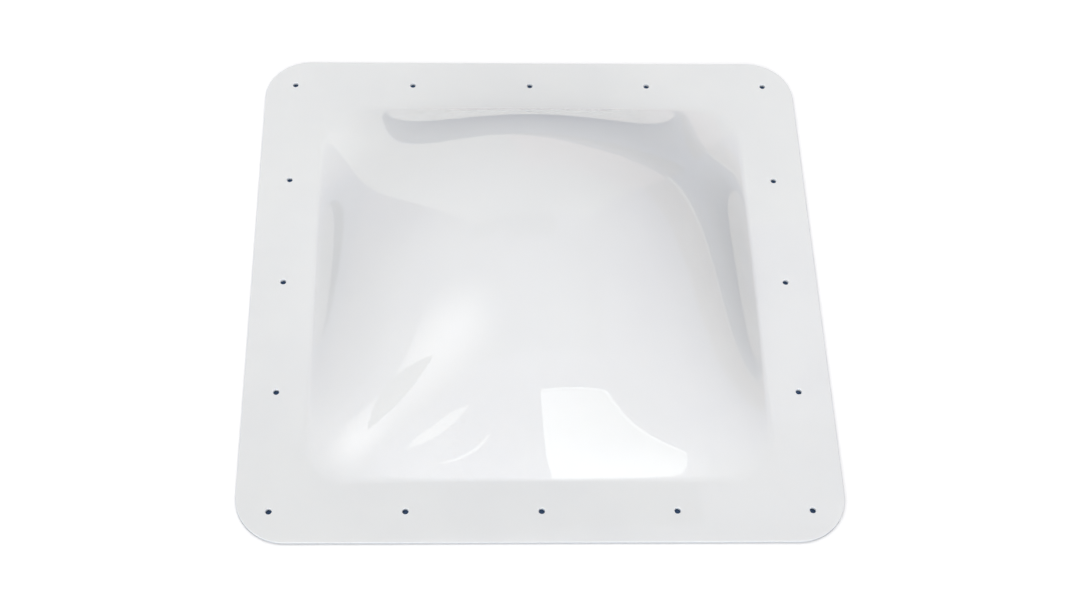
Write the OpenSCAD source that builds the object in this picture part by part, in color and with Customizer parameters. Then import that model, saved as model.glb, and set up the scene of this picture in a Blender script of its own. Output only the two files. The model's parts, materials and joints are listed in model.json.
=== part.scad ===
// One-piece roof vent dome: a flat square flange with a free-blown dome inside it,
// formed from a single sheet and drilled round the flange for its fixing screws.
// Origin: centre of the flange underside, the face that sits on the roof. +Z is up.

/* [Flange] */
// Width of the square flange across its flats
flange_w = 457.2; // [430:0.1:520]
// Radius of the flange's outer corners
flange_corner_r = 38.1; // [10:0.1:60]
// Thickness of the sheet where it stays flat
sheet_t = 3.2; // [2:0.1:5]

/* [Dome] */
// Width of the dome across the straight creases at its foot
dome_w = 355.6; // [300:0.1:370]
// Radius of the dome's corners at its foot
dome_corner_r = 36; // [25:0.5:60]
// Rise of the crown above the top of the flange
dome_rise = 95.6; // [60:0.1:110]
// Thickness at the crown, where the blown sheet is stretched thinnest
crown_t = 2.4; // [1.5:0.1:3]
// Height above the flange at which the wall starts to turn into the flange
foot_h = 1.4; // [1:0.1:3]

/* [Fixing holes] */
// Diameter of each fixing hole
hole_d = 4.8; // [3:0.1:8]
// Distance from the flange edge to the line of hole centres
hole_inset = 25.4; // [18:0.1:30]
// Holes along each side, counting both corner holes
holes_per_side = 5; // [2:1:9]

/* [Hidden] */

$fn = 72;
EPS = 0.01;
OPAL = [0.93, 0.945, 0.95];

// The flange and its holes.
hole_reach = flange_w / 2 - hole_inset;
hole_pitch = 2 * hole_reach / (holes_per_side - 1);

// The dome's foot is a square with round corners.
half_w = dome_w / 2;
corner_c = half_w - dome_corner_r;

// How finely the blown skin is divided.
SIDE_STEPS = 9;
CORNER_STEPS = 9;
RINGS = 16;
FOOT_RINGS = 4;
HARMONICS = 16;
SAMPLES = 180;

// The skin's profile from the crown (s = 0) to the foot (s = 1): a flattened paraboloid whose
// wall eases off again just above the foot.
SHOULDER = 0.15;
EASE = 0.36;
function rise_at(s) = dome_rise * (1 - s * s) * (1 - SHOULDER * s * s - EASE * pow(s, 12));
function thickness_at(s) = crown_t + (sheet_t - crown_t) * s * s;

// Distance from the centre to the foot outline, in the direction th.
function folded(th) = abs((th + 405) % 90 - 45);
function corner_reach(b) = b + sqrt(b * b - 2 * corner_c * corner_c + dome_corner_r * dome_corner_r);
function foot_reach(th) =
    let (a = folded(th))
    half_w * tan(a) <= corner_c ? half_w / cos(a) : corner_reach(corner_c * (cos(a) + sin(a)));

// A blown skin's contours lose their corners on the way up, a little faster than a harmonic
// function does: the k-th ripple of the foot outline has faded by s^4.8k on the contour at s.
FADE = 4.8;
function ripple(k) =
    let (n = [for (i = [0 : SAMPLES - 1]) (i + 0.5) * 45 / SAMPLES])
    let (terms = [for (th = n) foot_reach(th) * cos(4 * k * th)])
    (k == 0 ? 1 : 2) * sum(terms) / SAMPLES;
function sum(v) = v * [for (i = v) 1];
RIPPLES = [for (k = [0 : HARMONICS]) ripple(k)];
function reach_at(s, th) =
    s * sum([for (k = [0 : HARMONICS]) RIPPLES[k] * pow(s, FADE * k) * cos(4 * k * th)]);

// A point of the outer skin, and the outward normal there.
function skin(s, th) =
    let (r = reach_at(s, th))
    [r * cos(th), r * sin(th), sheet_t + rise_at(s)];
function unit(v) = v / norm(v);
function skin_normal(s, th) =
    unit(cross(skin(s + EPS, th) - skin(s - EPS, th), skin(s, th + EPS) - skin(s, th - EPS)));

// The directions in which the foot outline is divided: even steps along its sides and round
// its corners.
function side_th(i) = atan((2 * i / SIDE_STEPS - 1) * corner_c / half_w);
function corner_th(i) =
    let (a = i * 90 / CORNER_STEPS)
    atan2(corner_c + dome_corner_r * sin(a), corner_c + dome_corner_r * cos(a));
THETAS = [
    for (q = [0 : 3])
        each concat(
            [for (i = [0 : SIDE_STEPS - 1]) 90 * q + side_th(i)],
            [for (i = [0 : CORNER_STEPS - 1]) 90 * q + corner_th(i)]
        )
];

// Near its foot the wall turns into the flange along an arc that meets both smoothly.
foot_s = foot_start(1);
function foot_start(s) = rise_at(s) >= foot_h ? s : foot_start(s - 0.0005);
function level(s) = unit([s[0], s[1], 0]);
function foot_turn(n) = acos(n[2]);
function foot_r(n) = rise_at(foot_s) / (1 - cos(foot_turn(n)));

// The skin's outer points with their normals, ring by ring from the crown to the flange.
function wall_ring(i) =
    let (s = foot_s * sin(90 * i / RINGS) * (0.6 + 0.4 * i / RINGS))
    [for (th = THETAS) [skin(s, th), skin_normal(s, th), thickness_at(s)]];
function foot_ring(i) =
    [for (th = THETAS)
        let (n = skin_normal(foot_s, th))
        let (a = foot_turn(n) * (1 - i / FOOT_RINGS))
        let (out = foot_r(n) * (sin(foot_turn(n)) - sin(a)))
        let (p = skin(foot_s, th) + level(n) * out)
        [
            [p[0], p[1], sheet_t + foot_r(n) * (1 - cos(a))],
            level(n) * sin(a) + [0, 0, cos(a)],
            sheet_t
        ]];
SECTION = concat([for (i = [1 : RINGS]) wall_ring(i)], [for (i = [1 : FOOT_RINGS]) foot_ring(i)]);
RIM = [for (p = SECTION[len(SECTION) - 1]) [p[0][0], p[0][1]]];

// A square with round corners, centred on the origin.
module rounded_square(w, r) {
    square([w, w - 2 * r], center = true);
    square([w - 2 * r, w], center = true);
    for (x = [-1, 1], y = [-1, 1])
        translate([x, y] * (w / 2 - r))
            circle(r);
}

// The fixing holes stand on the outline of a square, evenly spaced.
module fixing_holes() {
    for (i = [0 : holes_per_side - 1], j = [0 : holes_per_side - 1])
        if (i % (holes_per_side - 1) == 0 || j % (holes_per_side - 1) == 0)
            translate([i * hole_pitch - hole_reach, j * hole_pitch - hole_reach, -1])
                cylinder(d = hole_d, h = sheet_t + 2);
}

// The flat flange, open where the skin leaves it.
module flange() {
    difference() {
        linear_extrude(sheet_t)
            difference() {
                rounded_square(flange_w, flange_corner_r);
                polygon(RIM);
            }
        fixing_holes();
    }
}

// The blown skin as one closed shell: outer rings, then inner rings, then the two crowns.
module blown_skin() {
    n = len(THETAS);
    m = len(SECTION);
    outer = [for (ring = SECTION) each [for (p = ring) p[0]]];
    inner = [for (ring = SECTION) each [for (p = ring) p[0] - p[1] * p[2]]];
    crowns = [skin(0, 0), skin(0, 0) - [0, 0, crown_t]];
    top = 2 * n * m;
    strip = [for (i = [0 : m - 2], j = [0 : n - 1]) [i * n + j, i * n + (j + 1) % n]];
    polyhedron(
        points = concat(outer, inner, crowns),
        faces = concat(
            [for (e = strip) each [[e[0], e[1], e[1] + n], [e[0], e[1] + n, e[0] + n]]],
            [for (e = strip) each [[e[0], e[1] + n, e[1]] + [1, 1, 1] * n * m,
                                   [e[0], e[0] + n, e[1] + n] + [1, 1, 1] * n * m]],
            [for (j = [0 : n - 1]) [top, (j + 1) % n, j]],
            [for (j = [0 : n - 1]) [top + 1, n * m + j, n * m + (j + 1) % n]],
            [for (j = [0 : n - 1])
                let (a = n * (m - 1) + j)
                let (b = n * (m - 1) + (j + 1) % n)
                each [[a, b, b + n * m], [a, b + n * m, a + n * m]]]
        )
    );
}

module vent_dome() {
    color(OPAL)
        union() {
            flange();
            blown_skin();
        }
}

vent_dome();
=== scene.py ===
"""A one-piece opal roof dome: a flat drilled flange with a blown dome inside it, on a pale floor."""

import json
import math

import bmesh
import bpy
import numpy as np
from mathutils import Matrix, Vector
from mathutils.geometry import delaunay_2d_cdt


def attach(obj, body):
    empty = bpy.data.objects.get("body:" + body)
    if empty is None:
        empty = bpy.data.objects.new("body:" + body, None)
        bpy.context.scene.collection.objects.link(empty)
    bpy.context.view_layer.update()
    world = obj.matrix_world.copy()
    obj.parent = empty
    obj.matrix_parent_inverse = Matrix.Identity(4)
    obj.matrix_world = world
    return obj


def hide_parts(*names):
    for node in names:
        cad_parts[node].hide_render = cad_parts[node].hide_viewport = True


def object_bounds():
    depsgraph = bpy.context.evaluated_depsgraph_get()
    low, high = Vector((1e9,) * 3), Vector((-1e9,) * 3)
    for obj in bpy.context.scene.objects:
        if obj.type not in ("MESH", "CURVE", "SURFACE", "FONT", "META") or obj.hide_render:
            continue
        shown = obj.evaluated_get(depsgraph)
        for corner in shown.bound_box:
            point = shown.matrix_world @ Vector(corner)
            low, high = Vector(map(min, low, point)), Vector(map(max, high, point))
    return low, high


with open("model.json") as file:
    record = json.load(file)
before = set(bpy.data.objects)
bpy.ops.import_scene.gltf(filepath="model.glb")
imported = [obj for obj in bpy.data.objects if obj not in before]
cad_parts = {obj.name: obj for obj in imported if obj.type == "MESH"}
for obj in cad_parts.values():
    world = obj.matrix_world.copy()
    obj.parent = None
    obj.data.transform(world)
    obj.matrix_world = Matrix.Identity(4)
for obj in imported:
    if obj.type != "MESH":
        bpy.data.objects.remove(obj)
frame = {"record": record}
cad_low, cad_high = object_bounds()

MM = 0.001
TAU = 2 * math.pi

# The moulding's sizes, in metres, as its CAD solid has them.
SHEET_T = 3.2 * MM
CROWN_T = 2.4 * MM
DOME_HALF = 177.8 * MM
DOME_CORNER_R = 36 * MM
FLANGE_CORNER_R = 38.1 * MM
FOOT_H = 1.4 * MM
FLANGE_HALF = cad_high.x
RISE = cad_high.z - SHEET_T
SHOULDER = 0.15
EASE = 0.36
FADE = 4.8

# How the visual mesh is divided. The skin's rings crowd towards the foot.
SIDE_STEPS = 34
CORNER_STEPS = 30
RINGS = 76
CROWDING = 0.4
FOOT_RINGS = 12
HARMONICS = 16
OUTLINE_SIDE_STEPS = 55
OUTLINE_CORNER_STEPS = 30
HOLE_STEPS = 40
GRID = 6 * MM
GRID_MARGIN = 2.6 * MM

# How the cut edges are dressed: the outer edge's radius, the break at the holes' edges, and the
# narrow band of faces beside each.
EDGE_R = 0.5 * MM
HOLE_BREAK = 0.25 * MM
SUPPORT = 0.35 * MM

# How much the holes' broken edges show as cut, from 0 to 1, and how far in from the outer edge
# its rounding still looks like sheet.
BROKEN_EDGE_CUT = 0.4
UNCUT_INSET = 0.7 * EDGE_R

# How far the flange lifts from flat, in millimetres: in waves, and at its corners.
WAVE_LIFT = 0.12
CORNER_LIFT = 0.35


def unit(v):
    return v / np.linalg.norm(v, axis=-1, keepdims=True)


def rotated(p, a):
    return (p[0] * math.cos(a) - p[1] * math.sin(a), p[0] * math.sin(a) + p[1] * math.cos(a))


def lifted(xy, z):
    return [(p[0], p[1], z) for p in xy]


# ---------------------------------------------------------------- the blown skin

CORNER_C = DOME_HALF - DOME_CORNER_R


def foot_reach(th):
    """How far the dome's foot outline is from its centre, in the direction th."""
    a = np.abs((th + TAU / 8) % (TAU / 4) - TAU / 8)
    b = CORNER_C * (np.cos(a) + np.sin(a))
    round_part = b + np.sqrt(np.maximum(b * b - 2 * CORNER_C**2 + DOME_CORNER_R**2, 0))
    return np.where(DOME_HALF * np.tan(a) <= CORNER_C, DOME_HALF / np.cos(a), round_part)


def ripples(samples=180):
    """The foot outline as cosines of four times the angle, eight times and so on."""
    th = (np.arange(samples) + 0.5) * TAU / 8 / samples
    r = foot_reach(th)
    waves = [(r * np.cos(4 * k * th)).mean() for k in range(HARMONICS + 1)]
    return np.array([(1 if k == 0 else 2) * w for k, w in enumerate(waves)])


RIPPLES = ripples()


def rise_at(s):
    return RISE * (1 - s**2) * (1 - SHOULDER * s**2 - EASE * s**12)


def thickness_at(s):
    return CROWN_T + (SHEET_T - CROWN_T) * s**2


def skin(s, th):
    """The outer skin from the crown (s = 0) to the foot (s = 1)."""
    r = s * sum(w * s ** (FADE * k) * np.cos(4 * k * th) for k, w in enumerate(RIPPLES))
    return np.stack([r * np.cos(th), r * np.sin(th), SHEET_T + rise_at(s) + 0 * r], -1)


def skin_normal(s, th, step=1e-4):
    along = skin(s + step, th) - skin(s - step, th)
    across = skin(s, th + step) - skin(s, th - step)
    return unit(np.cross(along, across))


def foot_directions():
    """The directions of the mesh's columns: even steps along the foot's sides and round its corners."""
    side = np.arctan((2 * np.arange(SIDE_STEPS) / SIDE_STEPS - 1) * CORNER_C / DOME_HALF)
    a = np.arange(CORNER_STEPS) * TAU / 4 / CORNER_STEPS
    corner = np.arctan2(
        CORNER_C + DOME_CORNER_R * np.sin(a), CORNER_C + DOME_CORNER_R * np.cos(a)
    )
    quarter = np.concatenate([side, corner])
    return np.concatenate([quarter + q * TAU / 4 for q in range(4)])


def foot_start(low=0.9, high=1.0, halvings=40):
    """Where down the wall the arc into the flange starts."""
    for _ in range(halvings):
        mid = (low + high) / 2
        low, high = (mid, high) if rise_at(mid) > FOOT_H else (low, mid)
    return low


def wall_rings(s0, th):
    rings = []
    for i in range(1, RINGS + 1):
        s = s0 * math.sin(TAU / 4 * i / RINGS) * (1 - CROWDING + CROWDING * i / RINGS)
        rings.append((skin(s, th), skin_normal(s, th), thickness_at(s)))
    return rings


def foot_rings(s0, th):
    p0, n0 = skin(s0, th), skin_normal(s0, th)
    out = unit(n0 * [1, 1, 0])
    turn = np.arccos(n0[:, 2])
    radius = rise_at(s0) / (1 - np.cos(turn))
    rings = []
    for i in range(1, FOOT_RINGS + 1):
        a = turn * (1 - i / FOOT_RINGS)
        p = p0 + out * (radius * (np.sin(turn) - np.sin(a)))[:, None]
        p[:, 2] = SHEET_T + radius * (1 - np.cos(a))
        n = out * np.sin(a)[:, None]
        n[:, 2] = np.cos(a)
        rings.append((p, n, SHEET_T))
    return rings


def skin_section():
    """Rings of (outer points, outward normals, thickness) from the crown to the flange."""
    s0, th = foot_start(), foot_directions()
    return wall_rings(s0, th) + foot_rings(s0, th)


# ---------------------------------------------------------------- the flange


def flange_outline(inset):
    """Points of the flange's outline, moved in by inset."""
    points = []
    c = FLANGE_HALF - FLANGE_CORNER_R
    r = FLANGE_CORNER_R - inset
    for q in range(4):
        turn = q * TAU / 4
        for t in np.linspace(-c, c, OUTLINE_SIDE_STEPS + 1)[:-1]:
            points.append(rotated((FLANGE_HALF - inset, t), turn))
        for a in np.linspace(0, TAU / 4, OUTLINE_CORNER_STEPS + 1)[:-1]:
            points.append(rotated((c + r * math.cos(a), c + r * math.sin(a)), turn))
    return np.array(points)


def circle(centre, r):
    a = np.arange(HOLE_STEPS) * TAU / HOLE_STEPS
    return np.stack([centre[0] + r * np.cos(a), centre[1] + r * np.sin(a)], -1)


def hole_centres():
    """The sixteen screw holes, from the record's bolt patterns."""
    found = []
    for m in frame["record"]["mounts"]:
        if m["kind"] != "bolt_pattern":
            continue
        half = [m["dims"].get(k, 0) * MM / 2 for k in ("spacing_x_mm", "spacing_y_mm")]
        found += [(x, y) for x in {-half[0], half[0]} for y in {-half[1], half[1]}]
    return sorted(found)


HOLES = hole_centres()
HOLE_R = MM * next(
    m["dims"]["hole_r_mm"] for m in frame["record"]["mounts"] if "hole_r_mm" in m["dims"]
)


def inside_flange(p, margin):
    """Whether a point is on the flange, clear of its edges and holes by margin."""
    x, y = abs(p[0]), abs(p[1])
    c = FLANGE_HALF - FLANGE_CORNER_R
    if max(x, y) > FLANGE_HALF - margin:
        return False
    if x > c and y > c and math.hypot(x - c, y - c) > FLANGE_CORNER_R - margin:
        return False
    return all(math.hypot(p[0] - h[0], p[1] - h[1]) > HOLE_R + margin for h in HOLES)


def inside_loop(points, loop):
    """Whether each point is inside a closed loop, by how often a line from it crosses the loop."""
    x, y = points[:, 0, None], points[:, 1, None]
    (ax, ay), (bx, by) = loop.T, np.roll(loop, -1, 0).T
    spans = (ay > y) != (by > y)
    with np.errstate(divide="ignore", invalid="ignore"):
        crossing = ax + (y - ay) * (bx - ax) / (by - ay)
    return (spans & (x < crossing)).sum(1) % 2 == 1


def flange_grid(rim):
    """An even grid of points on the flange, clear of its edges, its holes and the dome's rim."""
    steps = np.arange(-FLANGE_HALF + GRID / 2, FLANGE_HALF, GRID)
    grid = np.array([(x, y) for x in steps for y in steps if inside_flange((x, y), GRID_MARGIN)])
    return grid[~inside_loop(grid, rim * (1 + GRID_MARGIN / DOME_HALF))]


def flange_sheet(rim):
    """The flat flange as triangles: its points, its faces and the loops of points round its edges."""
    outer = flange_outline(EDGE_R + SUPPORT)
    loops = [rim, outer] + [circle(h, HOLE_R + HOLE_BREAK + SUPPORT) for h in HOLES]
    points, edges, starts = [], [], []
    for loop in loops:
        starts.append(len(points))
        n = len(loop)
        edges += [(starts[-1] + i, starts[-1] + (i + 1) % n) for i in range(n)]
        points += [tuple(p) for p in loop]
    points += [tuple(p) for p in flange_grid(rim)]
    # the triangulation works in millimetres and fills the whole sheet, so the holes are cleared after it
    scale = 1 / MM
    no_faces, whole_sheet, merge_distance = [], 0, 1e-4
    verts, _, faces, came_from, _, _ = delaunay_2d_cdt(
        [Vector(p) * scale for p in points], edges, no_faces, whole_sheet, merge_distance
    )
    verts = np.array([tuple(v) for v in verts]) * MM
    now = {i: k for k, old in enumerate(came_from) for i in old}
    centres = np.array([verts[list(f)].mean(0) for f in faces])
    flat = inside_loop(centres, outer)
    for hole in [rim] + loops[2:]:
        flat &= ~inside_loop(centres, hole)
    kept = [tuple(f) for f, on_flange in zip(faces, flat) if on_flange]
    loop_ids = [[now[s + i] for i in range(len(loop))] for s, loop in zip(starts, loops)]
    return verts, kept, loop_ids


# ---------------------------------------------------------------- the whole moulding


class Builder:
    """Collects the points and faces of one mesh, and how much each point shows as cut."""

    def __init__(self):
        self.points, self.faces, self.cut = [], [], []

    def add(self, points, cut=0.0):
        first = len(self.points)
        self.points += [tuple(p) for p in points]
        self.cut += [cut] * len(points)
        return list(range(first, len(self.points)))

    def band(self, a, b):
        """Quads between two closed loops of the same length."""
        n = len(a)
        self.faces += [(a[i], a[(i + 1) % n], b[(i + 1) % n], b[i]) for i in range(n)]


def add_skin(b, rings, rim_ids, inner):
    """One side of the blown skin, from the flange's rim up to the crown."""
    last = rim_ids
    for p, n, t in reversed(rings[:-1]):
        ring = b.add(p - n * t if inner else p)
        b.band(*((last, ring) if inner else (ring, last)))
        last = ring
    crown = b.add([(0, 0, cad_high.z - (CROWN_T if inner else 0))])[0]
    pairs = zip(last, last[1:] + last[:1])
    b.faces += [(crown, q, p) if inner else (crown, p, q) for p, q in pairs]


def edge_profile():
    """(inset, height) pairs of the flange's rounded edge, from the top face to the bottom face."""
    steps = 5
    arc = [TAU / 4 * i / steps for i in range(steps + 1)]
    top = [(EDGE_R * (1 - math.sin(a)), SHEET_T - EDGE_R * (1 - math.cos(a))) for a in arc]
    bottom = [(inset, SHEET_T - z) for inset, z in reversed(top)]
    return top + bottom


def add_sawn_edge(b, top_ids, bottom_ids):
    last = top_ids
    for inset, z in edge_profile():
        cut = 0.0 if inset > UNCUT_INSET else 1.0
        ring = b.add(lifted(flange_outline(inset), z), cut=cut)
        b.band(last, ring)
        last = ring
    b.band(last, bottom_ids)


def add_hole(b, centre, top_ids, bottom_ids):
    """A drilled hole with its two edges broken."""
    last = top_ids
    for r, z, cut in (
        (HOLE_R + HOLE_BREAK, SHEET_T, BROKEN_EDGE_CUT),
        (HOLE_R, SHEET_T - HOLE_BREAK, 1.0),
        (HOLE_R, HOLE_BREAK, 1.0),
        (HOLE_R + HOLE_BREAK, 0.0, BROKEN_EDGE_CUT),
    ):
        ring = b.add(lifted(circle(centre, r), z), cut=cut)
        b.band(ring, last)
        last = ring
    b.band(bottom_ids, last)


def moulding_mesh():
    b = Builder()
    rings = skin_section()
    rim = rings[-1][0][:, :2]
    flat, faces, loops = flange_sheet(rim)
    top = b.add(lifted(flat, SHEET_T))
    bottom = b.add(lifted(flat, 0.0))
    b.faces += [tuple(top[i] for i in f) for f in faces]
    b.faces += [tuple(bottom[i] for i in reversed(f)) for f in faces]
    above = [[top[i] for i in loop] for loop in loops]
    below = [[bottom[i] for i in loop] for loop in loops]
    add_skin(b, rings, above[0], inner=False)
    add_skin(b, rings, below[0], inner=True)
    add_sawn_edge(b, above[1], below[1])
    for centre, top_ids, bottom_ids in zip(HOLES, above[2:], below[2:]):
        add_hole(b, centre, top_ids, bottom_ids)
    return b


def warped(points):
    """The points of a sheet that isn't quite flat after forming: it lifts by tenths of a millimetre."""
    x, y = points[:, 0] / FLANGE_HALF, points[:, 1] / FLANGE_HALF
    straight_wave = np.sin(2.3 * x + 0.7) * np.cos(1.9 * y - 0.4)
    slanted_wave = np.sin(3.1 * y - 1.7 * x + 2.0)
    wave = 0.5 + 0.28 * straight_wave + 0.22 * slanted_wave
    corner = np.clip(np.abs(x * y), 0, 1) ** 3
    lift = (WAVE_LIFT * wave + CORNER_LIFT * corner) * MM
    crown = np.clip(points[:, 2] / cad_high.z, 0, 1) ** 2
    points = points.copy()
    points[:, 2] += lift * (1 - crown)
    return points


def mesh_object(name, points, faces):
    mesh = bpy.data.meshes.new(name)
    mesh.from_pydata([tuple(p) for p in points], [], faces)
    mesh.validate()
    work = bmesh.new()
    work.from_mesh(mesh)
    bmesh.ops.recalc_face_normals(work, faces=work.faces)
    work.to_mesh(mesh)
    work.free()
    mesh.polygons.foreach_set("use_smooth", [True] * len(mesh.polygons))
    obj = bpy.data.objects.new(name, mesh)
    bpy.context.scene.collection.objects.link(obj)
    return obj


# ---------------------------------------------------------------- materials


class Nodes:
    """A short way to write a node tree."""

    def __init__(self, tree):
        self.tree = tree
        self.tree.nodes.clear()

    def new(self, kind, inputs=None, **settings):
        node = self.tree.nodes.new(kind)
        for key, value in settings.items():
            setattr(node, key, value)
        for key, value in (inputs or {}).items():
            if isinstance(value, bpy.types.NodeSocket):
                self.tree.links.new(value, node.inputs[key])
            else:
                node.inputs[key].default_value = value
        return node

    def maths(self, operation, a, b=0.0):
        return self.new("ShaderNodeMath", {0: a, 1: b}, operation=operation).outputs[0]

    def noise(self, where, scale, detail=2.0, rough=0.5):
        inputs = {"Vector": where, "Scale": scale, "Detail": detail, "Roughness": rough}
        return self.new("ShaderNodeTexNoise", inputs).outputs["Fac"]

    def ramp(self, value, low, high, to_low=0.0, to_high=1.0):
        inputs = {
            "Value": value,
            "From Min": low,
            "From Max": high,
            "To Min": to_low,
            "To Max": to_high,
        }
        node = self.new("ShaderNodeMapRange", inputs, interpolation_type="SMOOTHSTEP")
        return node.outputs["Result"]

    def mix(self, factor, a, b):
        return self.new("ShaderNodeMix", {0: factor, 6: a, 7: b}, data_type="RGBA").outputs[2]


def new_material(name):
    material = bpy.data.materials.new(name)
    material.use_nodes = True
    return material, Nodes(material.node_tree)


def opal_colour(n, where, cut):
    """Milky white in faint clouds, a little bluer where it is thin or cut, with a trace of dust."""
    deep, light, thinner = (0.785, 0.795, 0.80, 1), (0.805, 0.815, 0.815, 1), (0.80, 0.81, 0.82, 1)
    dusty, sawn = (0.66, 0.66, 0.67, 1), (0.84, 0.89, 0.93, 1)
    height = n.new("ShaderNodeSeparateXYZ", {0: where}).outputs["Z"]
    cloud = n.ramp(n.noise(where, scale=14.0, detail=3.0), 0.3, 0.7)
    milk = n.mix(cloud, deep, light)
    thin = n.ramp(height, 0.02, 0.10, to_high=0.35)
    milk = n.mix(thin, milk, thinner)
    dust = n.ramp(n.noise(where, scale=900.0, detail=1.0), 0.74, 0.80, to_high=0.25)
    milk = n.mix(dust, milk, dusty)
    return n.mix(n.maths("MULTIPLY", cut, 0.6), milk, sawn)


def opal_roughness(n, where, cut):
    """A polished sheet with a trace of haze, rough where it is cut."""
    haze = n.ramp(n.noise(where, scale=22.0, detail=4.0, rough=0.6), 0.45, 0.75, 0.002, 0.012)
    return n.maths("ADD", haze, n.maths("MULTIPLY", cut, 0.38))


def opal_relief(n, where, cut):
    """A very faint orange peel, and upright saw marks on what is cut."""
    peel = n.noise(where, scale=160.0)
    along_cut = n.new("ShaderNodeMapping", {0: where, "Scale": (1, 1, 0.05)}).outputs[0]
    saw_marks = n.noise(along_cut, scale=2500.0, detail=1.0)
    relief = n.mix(cut, peel, saw_marks)
    return n.new("ShaderNodeBump", {"Height": relief, "Strength": 0.01, "Distance": 0.0004}).outputs[0]


def opal_material():
    material, n = new_material("opal_sheet")
    where = n.new("ShaderNodeTexCoord").outputs["Object"]
    cut = n.new("ShaderNodeAttribute", attribute_name="cut_edge").outputs["Fac"]
    shader = n.new(
        "ShaderNodeBsdfPrincipled",
        {
            "Base Color": opal_colour(n, where, cut),
            "Roughness": opal_roughness(n, where, cut),
            "IOR": 1.5,
            "Subsurface Weight": 0.35,
            "Subsurface Radius": (1.0, 0.95, 0.9),
            "Subsurface Scale": 0.003,
            "Normal": opal_relief(n, where, cut),
        },
    )
    n.new("ShaderNodeOutputMaterial", {"Surface": shader.outputs[0]})
    return material


def matt_material(name, colour, glow=0.0):
    material, n = new_material(name)
    inputs = {
        "Base Color": (*colour, 1),
        "Roughness": 0.9,
        "Emission Color": (*colour, 1),
        "Emission Strength": glow,
    }
    shader = n.new("ShaderNodeBsdfPrincipled", inputs)
    n.new("ShaderNodeOutputMaterial", {"Surface": shader.outputs[0]})
    return material


def glowing_material(name, strength=1.0, soft=False):
    """A panel that shines with its mesh's own colours. A soft one fades from its middle to its rim."""
    material, n = new_material(name)
    material.cycles.emission_sampling = "NONE"
    colour = n.new("ShaderNodeAttribute", attribute_name="glow").outputs["Color"]
    out = n.new("ShaderNodeEmission", {"Color": colour, "Strength": strength}).outputs[0]
    if soft:
        where = n.new("ShaderNodeTexCoord").outputs["Object"]
        away = n.new("ShaderNodeVectorMath", {0: where}, operation="LENGTH").outputs["Value"]
        fade = n.maths("POWER", n.ramp(away, 0.0, 1.0, 1.0, 0.0), 1.4)
        clear = n.new("ShaderNodeBsdfTransparent")
        out = n.new("ShaderNodeMixShader", {0: fade, 1: clear.outputs[0], 2: out}).outputs[0]
    n.new("ShaderNodeOutputMaterial", {"Surface": out})
    return material


# ---------------------------------------------------------------- the object


def build_moulding():
    b = moulding_mesh()
    dome = mesh_object("opal_roof_dome", warped(np.array(b.points)), b.faces)
    layer = dome.data.attributes.new("cut_edge", "FLOAT", "POINT")
    layer.data.foreach_set("value", b.cut)
    dome.data.materials.append(opal_material())
    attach(dome, "root")
    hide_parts("vent_dome")


# ---------------------------------------------------------------- the studio

# The room that the gloss mirrors, in metres from the dome's centre. The camera faces its far wall.
ROOM_TURN = math.radians(3.4)
FAR_Y, BACK_Y = 2.62, -2.06
LEFT_X, RIGHT_X = -1.93, 2.10
CEILING_Z = 3.79
GROUND_Z = -0.06

# The tints of its surfaces.
WHITE = (1.0, 1.0, 1.0)
GLASS = (0.96, 0.985, 1.0)
LILAC = (0.95, 0.91, 1.14)
WARM = (1.09, 0.94, 0.97)
PALE_BLUE = (0.87, 0.92, 1.22)
DEEP_BLUE = (0.7, 0.85, 1.45)

# How far a panel stands in front of the wall behind it.
PROUD = 0.01

# The world's light by direction: how much there is all round, how much more for each unit of
# x, y and z, and how much more for each unit of x squared and y squared.
LIGHT_ALL_ROUND = 0.512
LIGHT_SLOPES = (-0.271, -0.44, 0.752)
LIGHT_CURVES = (-1.10, 1.026)
LIGHT_COLOUR = (1.0, 0.997, 1.0, 1)

# The camera, at the photograph's viewing angle. Its turn is in degrees.
LENS_MM = 57.608
CAMERA_SHIFT = (0.0365, -0.0015)
CAMERA_AT = (-0.06347, -0.75686, 1.17575)
CAMERA_TURN = (32.17, -1.248, -0.744)


def only_in_gloss(obj):
    """Hides a stage piece from everything but mirror reflections."""
    obj.visible_camera = False
    obj.visible_diffuse = False
    obj.visible_transmission = False
    obj.visible_shadow = False


def paint_glow(obj, colours):
    layer = obj.data.color_attributes.new("glow", "FLOAT_COLOR", "POINT")
    layer.data.foreach_set("color", np.c_[colours, np.ones(len(colours))].ravel())


def panel(name, corners, levels, tint, steps=16):
    """A four-cornered panel of the mirrored room. It has one brightness, or one for each corner."""
    corners = np.array([(*rotated(p[:2], ROOM_TURN), p[2]) for p in corners])
    colours = np.outer(np.broadcast_to(levels, 4), tint)
    u, v = (g.ravel()[:, None] for g in np.meshgrid(*[np.linspace(0, 1, steps + 1)] * 2))
    shares = np.concatenate([(1 - u) * (1 - v), u * (1 - v), u * v, (1 - u) * v], 1)
    row = steps + 1
    starts = [j * row + i for j in range(steps) for i in range(steps)]
    faces = [(k, k + 1, k + 1 + row, k + row) for k in starts]
    obj = mesh_object(name, shares @ corners, faces)
    paint_glow(obj, shares @ colours)
    obj.data.materials.append(glowing_material(name))
    only_in_gloss(obj)


def wall_panel(name, y, xs, zs, levels, tint):
    """A panel across the room. Its levels go low left, low right, high right, high left."""
    (x0, x1), (z0, z1) = xs, zs
    panel(name, [(x0, y, z0), (x1, y, z0), (x1, y, z1), (x0, y, z1)], levels, tint)


def side_band(name, x, zs, levels, tint):
    """A band of a side wall. Its levels go low back, low far, high far, high back."""
    z0, z1 = zs
    panel(name, [(x, BACK_Y, z0), (x, FAR_Y, z0), (x, FAR_Y, z1), (x, BACK_Y, z1)], levels, tint)


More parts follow.
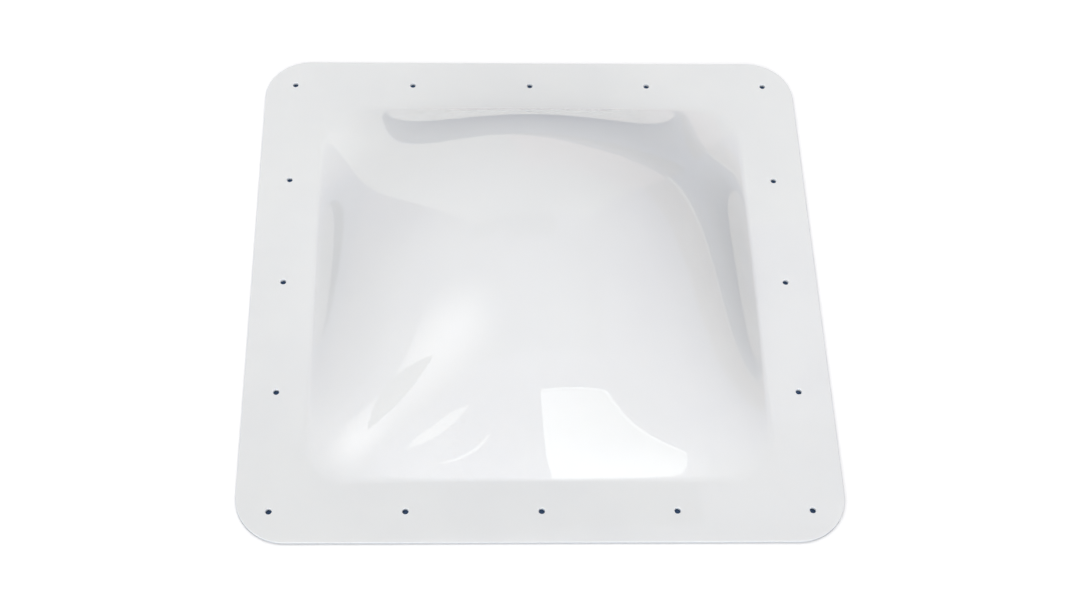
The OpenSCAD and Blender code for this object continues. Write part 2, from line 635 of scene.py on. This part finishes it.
def level_panel(name, z, xs, ys, levels, tint):
    """A level panel. Its levels go back left, back right, far right, far left."""
    (x0, x1), (y0, y1) = xs, ys
    panel(name, [(x0, y0, z), (x1, y0, z), (x1, y1, z), (x0, y1, z)], levels, tint)


def build_ground():
    """Dark blue, and lighter on the left."""
    split, whole_y = -0.7, (BACK_Y, FAR_Y)
    level_panel("ground_left", GROUND_Z, (LEFT_X, split), whole_y, 0.65, PALE_BLUE)
    level_panel("ground_right", GROUND_Z, (split, RIGHT_X), whole_y, (0.05, 0.25, 0.4, 0.2), DEEP_BLUE)


def build_ceiling():
    """A darker strip crosses the middle of its far part."""
    z, near_y, strip_y, far_y = CEILING_Z, (BACK_Y, 1.50), (1.50, 1.85), (1.85, FAR_Y)
    strip_x, split = 0.8, 0.9
    level_panel("ceiling", z, (LEFT_X, RIGHT_X), near_y, (0.4, 0.75, 0.6, 0.35), LILAC)
    level_panel("strip_left", z, (LEFT_X, -strip_x), strip_y, 0.45, LILAC)
    level_panel("strip", z, (-strip_x, strip_x), strip_y, (0.05, 0.2, 0.1, 0.05), LILAC)
    level_panel("strip_right", z, (strip_x, RIGHT_X), strip_y, (0.65, 0.85, 0.7, 0.6), LILAC)
    level_panel("ceiling_far", z, (LEFT_X, split), far_y, (0.05, 0.3, 0.35, 0.05), LILAC)
    level_panel("ceiling_far_right", z, (split, RIGHT_X), far_y, (0.9, 0.7, 0.7, 1.0), LILAC)


def build_end_walls():
    """The far wall has a dark base that rises to the right."""
    split = 1.2
    low, high = (GROUND_Z, split), (split, CEILING_Z)
    wall_panel("far_low_left", FAR_Y, (LEFT_X, 0), low, (1.2, 0.9, 1.05, 1.5), WHITE)
    wall_panel("far_low_right", FAR_Y, (0, RIGHT_X), low, (0.9, 0.85, 1.1, 1.05), WARM)
    wall_panel("far_high_left", FAR_Y, (LEFT_X, 0), high, (1.5, 1.05, 0.55, 0.7), WHITE)
    wall_panel("far_high_right", FAR_Y, (0, RIGHT_X), high, (1.05, 1.1, 1.4, 0.55), WHITE)
    y, x0, x1, top = FAR_Y - PROUD / 2, -0.1, 0.8, 0.23
    slope = [(x0, y, GROUND_Z), (x1, y, GROUND_Z), (x1, y, top), (x0, y, GROUND_Z + 0.005)]
    panel("far_base_slope", slope, (0.15, 0.15, 0.5, 0.5), LILAC)
    wall_panel("far_base", y, (x1, RIGHT_X), (GROUND_Z, top), (0.15, 0.15, 0.45, 0.5), LILAC)
    whole = (LEFT_X, RIGHT_X), (GROUND_Z, CEILING_Z)
    wall_panel("back_wall", BACK_Y, *whole, (0.95, 1.05, 1.1, 0.85), LILAC)


def build_side_walls():
    """In bands, dark low down and lighter higher up."""
    base, split = 0.08, 1.33
    side_band("left_base", LEFT_X, (GROUND_Z, base), 0.65, PALE_BLUE)
    side_band("left_low", LEFT_X, (base, split), (0.55, 0.8, 0.6, 0.5), LILAC)
    side_band("left_high", LEFT_X, (split, CEILING_Z), (0.8, 0.75, 0.35, 0.4), LILAC)
    base, low, mid, skirting_h = 0.16, 0.83, 1.8, 0.05
    side_band("right_base", RIGHT_X, (GROUND_Z, base), (0.25, 0.35, 0.35, 0.25), DEEP_BLUE)
    side_band("right_low", RIGHT_X, (base, low), (1.05, 0.55, 0.65, 1.1), WARM)
    side_band("right_mid", RIGHT_X, (low, mid), (1.7, 0.8, 1.0, 1.75), LILAC)
    side_band("right_high", RIGHT_X, (mid, CEILING_Z), (1.55, 0.9, 0.65, 1.1), LILAC)
    side_band("skirting", RIGHT_X - PROUD, (base, base + skirting_h), 1.0, WHITE)


def build_window():
    """A pane in a frame on the back wall, and the edges of another pane beside it."""
    y = BACK_Y + 2 * PROUD
    foot_x, inner_h, outer_x, outer_h, lean = 0.63, 2.14, 1.20, 2.34, 1.3
    for name, inset, levels in (
        ("window_frame", 0.0, (3.4, 3.6, 3.9, 3.9)),
        ("window_bar", 0.07, 2.7),
        ("window_pane", 0.11, (3.0, 4.0, 4.0, 3.1)),
    ):
        y += PROUD
        feet = [(foot_x - inset, y, GROUND_Z), (0, y, GROUND_Z)]
        heads = [(0, y, inner_h - inset), (outer_x - lean * inset, y, outer_h - lean * inset)]
        panel(name, feet + heads, levels, GLASS)
    side_pane = [(-0.95, y, 1.60), (-1.06, y, 2.10), (-1.27, y, 2.12), (-1.27, y, 1.75)]
    panel("side_pane", side_pane, 2.6, WHITE)
    side_slit = [(-0.395, y, 0.83), (-0.425, y, 0.83), (-0.46, y, 1.10), (-0.44, y, 1.10)]
    panel("side_slit", side_slit, 3.0, WHITE)


def softbox(name, direction, distance, radius, colour, strength):
    """A round glow that fades to nothing at its rim, facing the dome."""
    n = 48
    points = [(0, 0, 0)] + [(math.cos(t), math.sin(t), 0) for t in np.arange(n) * TAU / n]
    obj = mesh_object(name, points, [(0, i + 1, (i + 1) % n + 1) for i in range(n)])
    paint_glow(obj, np.array([colour] * len(points)))
    obj.data.materials.append(glowing_material(name, strength, soft=True))
    obj.location = Vector(direction).normalized() * distance
    obj.rotation_euler = (-obj.location).to_track_quat("Z", "Y").to_euler()
    obj.scale = (radius, radius, 1)
    only_in_gloss(obj)


def build_left_light():
    """A soft light high on the left, with the corner of a darker board in front of it."""
    direction, colour = (-0.60, -0.24, 0.84), (1.0, 0.985, 1.0)
    softbox("left_glow", direction, distance=2.6, radius=1.2, colour=colour, strength=3.05)
    x = -0.95
    board = [(x, -0.40, 1.14), (x, -0.19, 0.74), (x, -0.45, 0.50), (x, -0.75, 0.83)]
    panel("left_board", board, 0.4, WHITE)


def build_floor():
    """A pale floor. It is there to be seen, and neither shows in the gloss nor lights the part."""
    z, size = -0.6 * MM, 6.0
    corners = [(-size, -size, z), (size, -size, z), (size, size, z), (-size, size, z)]
    floor = mesh_object("pale_floor", corners, [(0, 1, 2, 3)])
    floor.data.materials.append(matt_material("pale_floor", (0.93, 0.93, 0.935), glow=0.15))
    floor.visible_glossy = False
    floor.visible_diffuse = False


def build_hole_shade_sheet():
    """A dark sheet under the flange, painted shade. It shows only through the screw holes and stands in
    for a dark surface lying in shadow under the flange.
    """
    z, outer_inset, inner_margin = -0.3 * MM, 12 * MM, 8 * MM
    outer = flange_outline(outer_inset)
    shrink = (DOME_HALF + inner_margin) / FLANGE_HALF
    n = len(outer)
    faces = [(i, (i + 1) % n, n + (i + 1) % n, n + i) for i in range(n)]
    # painted shade: this dark navy sheet makes the floor seen through the screw holes look shadowed
    hole_shade = mesh_object("hole_shade_sheet", lifted(outer, z) + lifted(outer * shrink, z), faces)
    hole_shade.data.materials.append(matt_material("hole_shade_sheet", (0.045, 0.085, 0.165)))


def build_world():
    """Soft light, most from the front and none from the sides, that the gloss can't see."""
    world = bpy.data.worlds.new("soft_studio")
    bpy.context.scene.world = world
    world.use_nodes = True
    n = Nodes(world.node_tree)
    direction = n.new("ShaderNodeTexCoord").outputs["Generated"]
    x, y, z = n.new("ShaderNodeSeparateXYZ", {0: direction}).outputs
    strength = LIGHT_ALL_ROUND
    for share, value in zip(LIGHT_SLOPES, (x, y, z)):
        strength = n.maths("ADD", n.maths("MULTIPLY", value, share), strength)
    for share, value in zip(LIGHT_CURVES, (x, y)):
        squared = n.maths("MULTIPLY", value, value)
        strength = n.maths("ADD", n.maths("MULTIPLY", squared, share), strength)
    strength = n.maths("MAXIMUM", strength, 0.0)
    back = n.new("ShaderNodeBackground", {"Color": LIGHT_COLOUR, "Strength": strength})
    n.new("ShaderNodeOutputWorld", {"Surface": back.outputs[0]})
    world.cycles_visibility.glossy = False


def build_camera():
    data = bpy.data.cameras.new("camera")
    camera = bpy.data.objects.new("camera", data)
    bpy.context.scene.collection.objects.link(camera)
    data.sensor_width = 36
    data.lens = LENS_MM
    data.shift_x, data.shift_y = CAMERA_SHIFT
    camera.location = CAMERA_AT
    camera.rotation_euler = [math.radians(a) for a in CAMERA_TURN]
    bpy.context.scene.camera = camera


build_moulding()
build_floor()
build_hole_shade_sheet()
build_ground()
build_ceiling()
build_end_walls()
build_side_walls()
build_window()
build_left_light()
build_world()
build_camera()
bpy.context.scene.view_settings.view_transform = "Standard"
